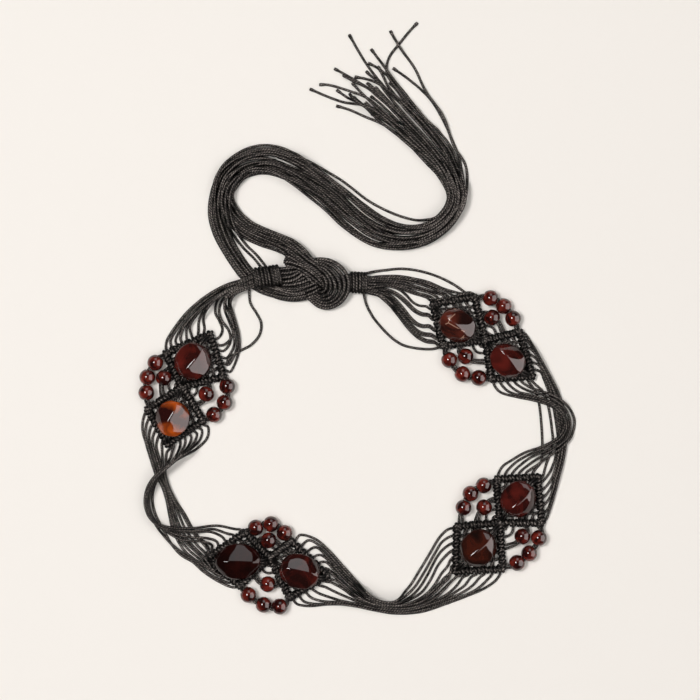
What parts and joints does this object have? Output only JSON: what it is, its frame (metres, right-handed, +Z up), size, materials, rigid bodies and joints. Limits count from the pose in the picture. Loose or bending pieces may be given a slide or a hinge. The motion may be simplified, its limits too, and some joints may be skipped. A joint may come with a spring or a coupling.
{
  "type": "beaded belt",
  "caption": "Knotted cord belt laid in a closed loop: double-diamond motifs with nugget beads and small round beads, joined by loose cords and tied in a knot with a fringed tail.",
  "frame": {"origin": "middle of the bounding box in plan, on the table that the belt lies on", "axes": "+Z up off the table; +Y from the waist loop towards the tail and its fringe; +X to the right as seen from above with the tail at the top"},
  "size_m": [0.2705, 0.3664, 0.0163],
  "materials": {
    "cord": "waxed, slightly shiny",
    "large_bead": "polished",
    "small_bead": "polished"
  },
  "bodies": {
    "root": {"knotted_frame_left": "cord", "knotted_frame_lower_left": "cord", "knotted_frame_lower_right": "cord", "knotted_frame_right": "cord", "strand_link_left": "cord", "strand_link_lower": "cord", "strand_link_right": "cord", "left_lead": "cord", "right_lead": "cord", "left_whipping": "cord", "right_whipping": "cord", "tie_knot": "cord", "tail": "cord", "left_loose_cord": "cord", "upper_loose_cord": "cord", "lower_loose_cord": "cord", "large_bead_left_near": "large_bead", "large_bead_left_far": "large_bead", "large_bead_lower_left_near": "large_bead", "large_bead_lower_left_far": "large_bead", "large_bead_lower_right_near": "large_bead", "large_bead_lower_right_far": "large_bead", "large_bead_right_near": "large_bead", "large_bead_right_far": "large_bead", "small_bead_left_in_1": "small_bead", "small_bead_left_in_2": "small_bead", "small_bead_left_in_3": "small_bead", "small_bead_left_in_4": "small_bead", "small_bead_left_out_1": "small_bead", "small_bead_left_out_2": "small_bead", "small_bead_left_out_3": "small_bead", "small_bead_left_out_4": "small_bead", "small_bead_lower_left_in_1": "small_bead", "small_bead_lower_left_in_2": "small_bead", "small_bead_lower_left_in_3": "small_bead", "small_bead_lower_left_in_4": "small_bead", "small_bead_lower_left_out_1": "small_bead", "small_bead_lower_left_out_2": "small_bead", "small_bead_lower_left_out_3": "small_bead", "small_bead_lower_left_out_4": "small_bead", "small_bead_lower_right_in_1": "small_bead", "small_bead_lower_right_in_2": "small_bead", "small_bead_lower_right_in_3": "small_bead", "small_bead_lower_right_in_4": "small_bead", "small_bead_lower_right_out_1": "small_bead", "small_bead_lower_right_out_2": "small_bead", "small_bead_lower_right_out_3": "small_bead", "small_bead_lower_right_out_4": "small_bead", "small_bead_right_in_1": "small_bead", "small_bead_right_in_2": "small_bead", "small_bead_right_in_3": "small_bead", "small_bead_right_in_4": "small_bead", "small_bead_right_out_1": "small_bead", "small_bead_right_out_2": "small_bead", "small_bead_right_out_3": "small_bead", "small_bead_right_out_4": "small_bead"}
  },
  "joints": []
}
